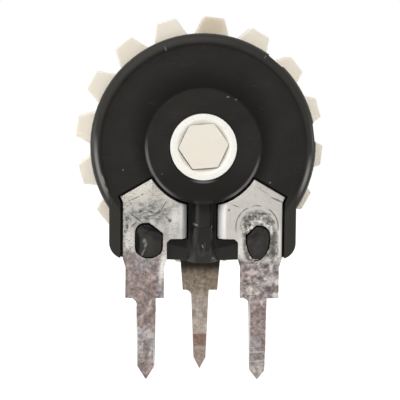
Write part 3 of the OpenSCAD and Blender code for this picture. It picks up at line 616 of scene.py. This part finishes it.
def dulled_collector(name):
    """Plated centre sheet, filmed khaki, with a pale stretch and a brown band on its leg, and painted shadow
    at its top.
    """
    look = Look(name)
    khaki = tuple(colours().khaki)
    grain = look.cloud(6.0, 6.0, 0.7)
    height = look.work("ADD", look.axis(2), look.times(look.cloud(2.0, 3.0), 0.25))
    film = look.ramp(grain, (0.34, shade(khaki, 0.62)), (0.5, shade(khaki, 1.0)), (0.66, shade(khaki, 1.5)))
    film = look.stain(film, 0.5, (0.3, 0.2, 0.13), CENTRE_RUST)
    film = look.stain(film, 0.5, (0.44, 0.37, 0.3), CENTRE_STROKES, ragged=1.2)
    pale = look.ramp(grain, (0.36, (0.3, 0.25, 0.205, 1.0)), (0.5, (0.415, 0.352, 0.302, 1.0)),
                     (0.66, (0.52, 0.45, 0.395, 1.0)))
    pale = look.stain(pale, 0.6, (0.22, 0.195, 0.155), CENTRE_DULL)
    brown = look.ramp(grain, (0.36, (0.165, 0.1, 0.08, 1.0)), (0.66, (0.32, 0.225, 0.18, 1.0)))
    end = look.ramp(grain, (0.36, (0.24, 0.185, 0.155, 1.0)), (0.66, (0.38, 0.31, 0.265, 1.0)))
    tone = look.mix(look.rise(height, 0.2, -0.3), film, pale)
    tone = look.mix(look.rise(height, -1.92, -1.98), tone, brown)
    tone = look.mix(look.rise(height, -2.45, -2.6), tone, end)
    tone = look.grained(tone, 4.0, 1.6)
    # Painted shadow: the blade darkens to near black and turns less metallic towards its top, under the
    # housing's foot
    painted_shadow = look.rise(look.axis(2), 0.7, 1.2)
    tone = look.cover(tone, painted_shadow, 0.93, (0.016, 0.014, 0.011, 1.0))
    look.relief(look.cloud(8.0, 5.0, 0.65), 0.4, 0.04)
    look.set(base=tone, rough=look.spread(grain, 0.45, 0.68), metal=look.spread(painted_shadow, 0.6, 0.0),
             specular=0.1)
    return look.material


def spring_sheet(name):
    """Rolled spring brass, brushed along its length."""
    look = Look(name)
    rolled = look.cloud(1.0, 4.0, 0.6, look.mapped(look.place, scale=(1.5, 12.0, 14.0)))
    look.relief(rolled, 0.2, 0.01)
    look.mottle(tuple(colours().brass), rolled, (0.75, 1.15), (0.25, 0.45), metal=1.0)
    return look.material


def element_board(name):
    """Brown phenolic laminate with a fine mottle."""
    look = Look(name)
    look.relief(look.cloud(18.0, 2.0), 0.15, 0.01)
    look.mottle(tuple(colours().phenolic), look.cloud(3.0, 6.0), (0.7, 1.3), (0.45, 0.6))
    return look.material


def printed_carbon(name):
    """Matt printed carbon with a fine tooth."""
    look = Look(name)
    grain = look.cloud(12.0, 4.0)
    look.relief(grain, 0.2, 0.01)
    look.mottle(tuple(colours().carbon), grain, (0.7, 1.5), (0.55, 0.75))
    return look.material


def cad_copy(node):
    """A merged copy of a CAD node's mesh, with its flat faces joined and its slivers closed."""
    mesh = bmesh.new()
    mesh.from_mesh(frame["nodes"][node].data)
    bmesh.ops.remove_doubles(mesh, verts=mesh.verts, dist=MERGE)
    bmesh.ops.dissolve_limit(mesh, angle_limit=FLAT, verts=mesh.verts, edges=mesh.edges)
    bmesh.ops.dissolve_degenerate(mesh, dist=SLIVER, edges=mesh.edges)
    return mesh


def soften(mesh, width, inner=0.0, outer=1.0, foot=False):
    """Bevels the sharp edges between two radii about the rotor's axis, and a foot's below the axis."""
    edges = []
    for edge in mesh.edges:
        middle = (edge.verts[0].co + edge.verts[1].co) / 2 - Vector(AXIS) * MM
        if edge.is_manifold and edge.calc_face_angle() > SHARP:
            if inner <= math.hypot(middle.x, middle.z) < outer or foot and middle.z < 0:
                edges.append(edge)
    bmesh.ops.bevel(mesh, geom=edges, offset=width, offset_type="OFFSET", affect="EDGES", segments=2,
                    profile=0.5, material=-1, clamp_overlap=False)


def cut_grid(mesh, low, high, step, inside=False):
    """Cuts the front faces that reach between two corners, or lie inside, into a grid in X and Z."""
    for axis in (0, 2):
        across = Vector((axis == 0, 0, axis == 2))
        for index in range(round((high[axis] - low[axis]) / step) + 1):
            faces = [face for face in mesh.faces if face.normal.y < FACING and touches(face, low, high)
                     and (not inside or within(face.calc_center_median(), low, high))]
            edges = {edge for face in faces for edge in face.edges}
            verts = {vert for face in faces for vert in face.verts}
            bmesh.ops.bisect_plane(mesh, geom=faces + list(edges) + list(verts), dist=MERGE,
                                   plane_co=Vector(low) + across * index * step, plane_no=across)


def touches(face, low, high):
    """Whether a face's box meets the box between two corners."""
    return all(min(vert.co[axis] for vert in face.verts) <= high[axis]
               and max(vert.co[axis] for vert in face.verts) >= low[axis] for axis in range(3))


def within(point, low, high):
    """Whether a point lies in the box between two corners."""
    return all(low[axis] - MERGE <= point[axis] <= high[axis] + MERGE for axis in range(3))


def held(value):
    """A value held between 0 and 1."""
    return max(0.0, min(1.0, value))


def lumps(point, coarse, fine, share, shift=0.0):
    """Unevenness at a point: coarse lumps, and a share of finer ones."""
    return noise.noise(point / coarse + Vector((shift, 0, 0))) + share * noise.noise(point / fine)


def peg(side):
    """The middle of a staked peg, in the plane of the legs' middle."""
    return Vector((side * sizes().peg_x, 0, sizes().peg_z))


def melt_pegs(mesh):
    """Makes the staked pegs' heads uneven, as plastic that was pressed while soft."""
    reach = Vector((0.6, 0, 0.8)) * MM
    front = CAD_BOX[0][1]
    cell, coarse, fine, lift = 0.08 * MM, 0.34 * MM, 0.13 * MM, 0.25
    for side in (-1, 1):
        low, high = peg(side) - reach, peg(side) + reach
        low.y, high.y = front, SHEET_FRONT
        cut_grid(mesh, low, high, cell, inside=True)
        for vert in mesh.verts:
            if within(vert.co, low, high):
                swell = lumps(vert.co, coarse, fine, 0.5, side) + lift
                vert.co.y = max(front, vert.co.y + sizes().peg_melt * swell)
        draw_in(mesh, side)


def cut_hole(mesh, side):
    """Cuts a terminal's front round a peg's hole into a grid, so that the hole can be drawn in."""
    reach = Vector((sizes().hole_half_w, 0, sizes().hole_half_h)) * HOLE_REACH
    middle = peg(side) + Vector((0, SHEET_FRONT, 0))
    cut_grid(mesh, middle - reach, middle + reach, 0.1 * MM)


def draw_in(mesh, side):
    """Draws in a peg or its hole, only at the lower end on the left, more and all along on the right."""
    taper, power, inner, drop = PEG_DRAWS[side]
    wide, tall, depth = HOLE_REACH, HOLE_REACH + 0.05, 0.25 * MM
    middle = peg(side)
    for vert in mesh.verts:
        off = vert.co - middle
        across, below = abs(off.x) / sizes().hole_half_w, -off.z / sizes().hole_half_h
        if vert.co.y < depth and across < wide and abs(below) < tall:
            fade = min(1.0, (wide - across) / 0.2, (tall - abs(below)) / 0.3)
            squeeze = taper * held(below) ** power + (inner if off.x < 0 else 0.0)
            vert.co.x -= off.x * fade * squeeze
            vert.co.z -= drop * MM * fade


def lower_sill(mesh):
    """Lowers the foot's underside between the terminals to just above the rib's end."""
    half, low, high = 1.78 * MM, 1.75 * MM, 1.87 * MM
    for vert in mesh.verts:
        if abs(vert.co.x) < half and low < vert.co.z < high:
            vert.co.z -= sizes().sill


def cut_leg(mesh, node):
    """Gives a leg its own blunt point and its own width, before its edges are softened."""
    drop, root, point = LEG_CUTS[node]
    shoulders, edge, fade = -2 * MM, 0.71 * MM, 0.3 * MM
    middle = min(mesh.verts, key=lambda vert: vert.co.z).co.x
    for vert in mesh.verts:
        off = vert.co.x - middle
        if vert.co.z < shoulders:
            vert.co.x = middle + off * (1 + point)
            vert.co.z -= drop * MM if off else 0.0
        elif vert.co.z < MERGE:
            vert.co.x = middle + off * (1 + root * held((edge - abs(off)) / fade))


def flare_blade(mesh):
    """Widens the collector's blade towards the housing."""
    low, high = 0.1 * MM, 1.6 * MM
    for place in (low, high):
        bmesh.ops.bisect_plane(mesh, geom=mesh.verts[:] + mesh.edges[:] + mesh.faces[:], dist=MERGE,
                               plane_co=(0, 0, place), plane_no=(0, 0, 1))
    for vert in mesh.verts:
        if low < vert.co.z < high + MERGE:
            vert.co.x *= 1 + sizes().flare * (vert.co.z - low) / (high - low)


def press_punch(mesh):
    """Presses the staking punch's print into the right terminal, with rough tin round the peg."""
    middle = Vector((sizes().punch_x, 0, sizes().punch_z))
    reach, below, cell = sizes().punch_radius * 1.1, 2.4 * MM, 0.05 * MM
    low = middle + Vector((-reach, SHEET_FRONT - cell, -below))
    high = middle + Vector((reach, 0, reach))
    cut_grid(mesh, low, high, cell)
    for vert in mesh.verts:
        off = vert.co - middle
        off.y = 0
        if vert.co.y < SHEET_FRONT / 2 and low.z < vert.co.z and off.x < reach:
            share = off.length / sizes().punch_radius
            dish = held((0.97 - share) / 0.22)
            from_peg = math.hypot(off.x / 0.85, (off.z + 0.95 * MM) / 1.25) / MM
            rough = max(dish, held((1.1 - from_peg) / 0.25)) * lumps(vert.co, 0.2 * MM, 0.09 * MM, 0.7)
            groove = math.exp(-((share - 1.0) / 0.03) ** 2)
            vert.co.y += sizes().punch_depth * (0.7 * dish + 0.8 * rough + 0.3 * groove)


def crust_leg(mesh, side):
    """Makes a blade's and a leg's front and edges uneven with old solder."""
    middle, half, cell, ends = side * 2.6 * MM, MM, 0.07 * MM, 0.3 * MM
    low = Vector((middle - half, SHEET_FRONT - 0.05 * MM, -3.4 * MM))
    high = Vector((middle + half, 0, 1.3 * MM))
    cut_grid(mesh, low, high, cell)
    for vert in mesh.verts:
        if vert.co.y < 0 and low.z < vert.co.z < high.z and abs(vert.co.x - middle) < half:
            fade = min(1.0, (high.z - vert.co.z) / ends, (vert.co.z - low.z) / ends)
            vert.co.y += sizes().crust * fade * lumps(vert.co, 0.24 * MM, 0.1 * MM, 0.6)
            sway = noise.noise(vert.co / (0.2 * MM) + Vector((7, 0, 0)))
            vert.co.x += 0.6 * sizes().crust * fade * sway


def lift_shaft(mesh):
    """Lifts the thumbwheel's shaft in the rotor's bore by its play."""
    for vert in mesh.verts:
        if math.hypot(vert.co.x, vert.co.z - AXIS[2] * MM) < HEXAGON_REACH:
            vert.co.z += sizes().shaft_play


def made(mesh, name, material):
    """Puts a mesh into the scene as an object with a material."""
    data = bpy.data.meshes.new(name)
    mesh.to_mesh(data)
    mesh.free()
    data.materials.append(material)
    thing = bpy.data.objects.new(name, data)
    bpy.context.scene.collection.objects.link(thing)
    return thing


def show(mesh, node, body, material):
    """Makes a piece from a mesh in place of a CAD node, inside the CAD box and riding on its body."""
    for vert in mesh.verts:
        vert.co = [max(low, min(high, part)) for low, high, part in zip(*CAD_BOX, vert.co)]
    # Points that fell together and points between only two edges would leave stray triangles
    bmesh.ops.dissolve_degenerate(mesh, dist=MERGE, edges=mesh.edges)
    bmesh.ops.dissolve_verts(mesh, verts=[vert for vert in mesh.verts if len(vert.link_edges) == 2])
    for face in mesh.faces:
        face.smooth = True
    for edge in mesh.edges:
        edge.smooth = not (edge.is_manifold and edge.calc_face_angle() > SHARP)
    piece = made(mesh, node + "_dressed", material)
    normals = piece.modifiers.new("even_faces", "WEIGHTED_NORMAL")
    normals.keep_sharp = True
    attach(piece, body)
    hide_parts(node)


class TRIMMER_OT_housing(bpy.types.Operator):
    """Dresses the black housing, with its two staked pegs, and the rear cover"""

    bl_idname = "trimmer.housing"
    bl_label = "Housing and Cover"

    def execute(self, context):
        material = black_moulding("warm_black_moulding")
        for node in ("housing", "rear_cover"):
            mesh = cad_copy(node)
            soften(mesh, sizes().moulded_edge, outer=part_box(node)[1].x - ROUNDED_BAND, foot=True)
            if node == "housing":
                melt_pegs(mesh)
                lower_sill(mesh)
            show(mesh, node, "body", material)
        return {"FINISHED"}


class TRIMMER_OT_terminals(bpy.types.Operator):
    """Dresses the three stamped terminals"""

    bl_idname = "trimmer.terminals"
    bl_label = "Terminals"

    def execute(self, context):
        for side, node in ((-1, "terminal_left"), (1, "terminal_right")):
            mesh = cad_copy(node)
            cut_leg(mesh, node)
            soften(mesh, sizes().sheet_edge)
            crust_leg(mesh, side)
            if side > 0:
                press_punch(mesh)
            else:
                cut_hole(mesh, side)
            draw_in(mesh, side)
            show(mesh, node, "body", tinned("tinned_sheet_" + node, side < 0))
        mesh = cad_copy("collector_terminal")
        cut_leg(mesh, "collector_terminal")
        soften(mesh, sizes().sheet_edge)
        flare_blade(mesh)
        show(mesh, "collector_terminal", "body", dulled_collector("dulled_collector_sheet"))
        return {"FINISHED"}


class TRIMMER_OT_adjuster(bpy.types.Operator):
    """Dresses the turning pieces: rotor and thumbwheel"""

    bl_idname = "trimmer.adjuster"
    bl_label = "Rotor and Thumbwheel"

    def execute(self, context):
        for node, slot, edge, material in (
                ("rotor", "white_plastic", sizes().moulded_edge, rotor_moulding("white_rotor_moulding")),
                ("thumbwheel", "cream_plastic", sizes().wheel_edge, wheel_moulding("cream_wheel_moulding"))):
            mesh = cad_copy(node)
            if node == "thumbwheel":
                lift_shaft(mesh)
            soften(mesh, sizes().bore_edge, outer=HEXAGON_REACH)
            soften(mesh, edge, inner=HEXAGON_REACH)
            show(mesh, node, "adjuster", material)
        return {"FINISHED"}


class TRIMMER_OT_inner(bpy.types.Operator):
    """Finishes the pieces inside the housing: element, track and wiper"""

    bl_idname = "trimmer.inner"
    bl_label = "Element, Track and Wiper"

    def execute(self, context):
        for node, body, slot, material in (
                ("resistive_element", "body", "phenolic_board", element_board("phenolic_element_board")),
                ("carbon_track", "body", "carbon_film", printed_carbon("printed_carbon_track")),
                ("wiper", "adjuster", "spring_brass", spring_sheet("spring_brass_wiper"))):
            show(cad_copy(node), node, body, material)
        return {"FINISHED"}


class TRIMMER_OT_stage(bpy.types.Operator):
    """Sets up the floor, the soft light, the pale surroundings and the camera"""

    bl_idname = "trimmer.stage"
    bl_label = "Stage"

    def execute(self, context):
        scene = context.scene
        scene.view_settings.view_transform = "Standard"
        self.floor()
        self.surroundings(scene)
        self.lamp("key", (-35, -75, 95), 140, 140, 0.12)
        self.lamp("left", (-95, -18, 9), 40, 24, 0.03)
        self.lamp("right", (95, -22, 9), 40, 24, 0.025)
        self.camera(scene)
        return {"FINISHED"}

    def seen(self, tree):
        """A value of 1 for the rays that show the background: seen, mirrored or passed through."""
        path = tree.nodes.new("ShaderNodeLightPath")
        total = path.outputs["Is Camera Ray"]
        for name in ("Is Glossy Ray", "Is Transmission Ray"):
            node = tree.nodes.new("ShaderNodeMath")
            node.operation = "MAXIMUM"
            tree.links.new(total, node.inputs[0])
            tree.links.new(path.outputs[name], node.inputs[1])
            total = node.outputs["Value"]
        return total

    def floor(self):
        """A wide pale floor that the legs' tips touch."""
        mesh = bmesh.new()
        bmesh.ops.create_circle(mesh, cap_ends=True, segments=96, radius=FLOOR_RADIUS,
                                matrix=Matrix.Translation((0, 0, CAD_BOX[0][2])))
        floor = made(mesh, "floor", self.floor_material())

    def floor_material(self):
        """Matt to the light that falls on it, and near white with the part's shadow to the eye."""
        material = bpy.data.materials.new("pale_floor")
        material.use_nodes = True
        tree = material.node_tree
        tree.nodes.remove(tree.nodes["Principled BSDF"])
        matt = tree.nodes.new("ShaderNodeBsdfDiffuse")
        matt.inputs["Color"].default_value = tuple(colours().floor) + (1.0,)
        glow = tree.nodes.new("ShaderNodeEmission")
        glow.inputs["Strength"].default_value = FLOOR_GLOW
        pale = tree.nodes.new("ShaderNodeBsdfDiffuse")
        pale.inputs["Color"].default_value = (FLOOR_SHADOW,) * 3 + (1.0,)
        lit = tree.nodes.new("ShaderNodeAddShader")
        both = tree.nodes.new("ShaderNodeMixShader")
        tree.links.new(self.seen(tree), both.inputs["Fac"])
        surface = tree.nodes["Material Output"].inputs["Surface"]
        for source, target in ((glow, lit.inputs[0]), (pale, lit.inputs[1]), (matt, both.inputs[1]),
                               (lit, both.inputs[2]), (both, surface)):
            tree.links.new(source.outputs[0], target)
        return material

    def surroundings(self, scene):
        """White to the eye and in mirrors, and a soft even light on the part."""
        world = bpy.data.worlds.new("pale_surroundings")
        world.use_nodes = True
        scene.world = world
        tree = world.node_tree
        sky = tree.nodes["Background"]
        sky.inputs["Color"].default_value = (1.0, 1.0, 1.0, 1.0)
        level = tree.nodes.new("ShaderNodeMapRange")
        level.inputs["To Min"].default_value = SKY_LIGHT
        level.inputs["To Max"].default_value = 1.0
        tree.links.new(self.seen(tree), level.inputs["Value"])
        tree.links.new(level.outputs["Result"], sky.inputs["Strength"])

    def lamp(self, name, place, width, height, power):
        """A soft lamp that looks at the housing, its place and size in millimetres, its power in watts."""
        data = bpy.data.lights.new(name, "AREA")
        data.shape = "RECTANGLE"
        data.size = width * MM
        data.size_y = height * MM
        data.energy = power
        lamp = bpy.data.objects.new(name, data)
        lamp.location = Vector(place) * MM
        aim = Vector(LAMP_AIM) * MM - lamp.location
        lamp.rotation_euler = aim.to_track_quat("-Z", "Y").to_euler()
        bpy.context.scene.collection.objects.link(lamp)

    def camera(self, scene):
        """The camera, where the photograph's perspective puts it."""
        ahead = Vector((math.sin(YAW) * math.cos(PITCH), math.cos(YAW) * math.cos(PITCH), math.sin(PITCH)))
        level = Vector((math.cos(YAW), -math.sin(YAW), 0))
        upright = level.cross(ahead)
        right = math.cos(ROLL) * level + math.sin(ROLL) * upright
        up = math.cos(ROLL) * upright - math.sin(ROLL) * level
        data = bpy.data.cameras.new("camera")
        data.sensor_width = 36
        data.lens = FOCAL_PX * data.sensor_width / WIDTH_PX
        data.clip_start = MM
        camera = bpy.data.objects.new("camera", data)
        turn = Matrix((right, up, -ahead)).transposed()
        camera.matrix_world = Matrix.Translation(Vector(CAMERA_PLACE) * MM) @ turn.to_4x4()
        scene.collection.objects.link(camera)
        scene.camera = camera


class TRIMMER_PT_panel(bpy.types.Panel):
    """Lists the pieces, sizes and colours of the trimmer"""

    bl_idname = "TRIMMER_PT_panel"
    bl_label = "Trimmer Potentiometer"
    bl_space_type = "VIEW_3D"
    bl_region_type = "UI"
    bl_category = "Trimmer"

    def draw(self, context):
        for operator in OPERATORS:
            self.layout.operator(operator.bl_idname)
        for group in (context.scene.trimmer_sizes, context.scene.trimmer_colours):
            box = self.layout.box()
            for name in group.__annotations__:
                box.prop(group, name)


OPERATORS = (TRIMMER_OT_stage, TRIMMER_OT_housing, TRIMMER_OT_terminals, TRIMMER_OT_adjuster,
             TRIMMER_OT_inner)
CLASSES = (TrimmerSizes, TrimmerColours) + OPERATORS + (TRIMMER_PT_panel,)


def register():
    for cls in CLASSES:
        bpy.utils.register_class(cls)
    bpy.types.Scene.trimmer_sizes = PointerProperty(type=TrimmerSizes)
    bpy.types.Scene.trimmer_colours = PointerProperty(type=TrimmerColours)


def unregister():
    del bpy.types.Scene.trimmer_colours
    del bpy.types.Scene.trimmer_sizes
    for cls in reversed(CLASSES):
        bpy.utils.unregister_class(cls)


def main():
    register()
    bpy.ops.trimmer.stage()
    bpy.ops.trimmer.housing()
    bpy.ops.trimmer.terminals()
    bpy.ops.trimmer.adjuster()
    bpy.ops.trimmer.inner()


if __name__ == "__main__":
    main()
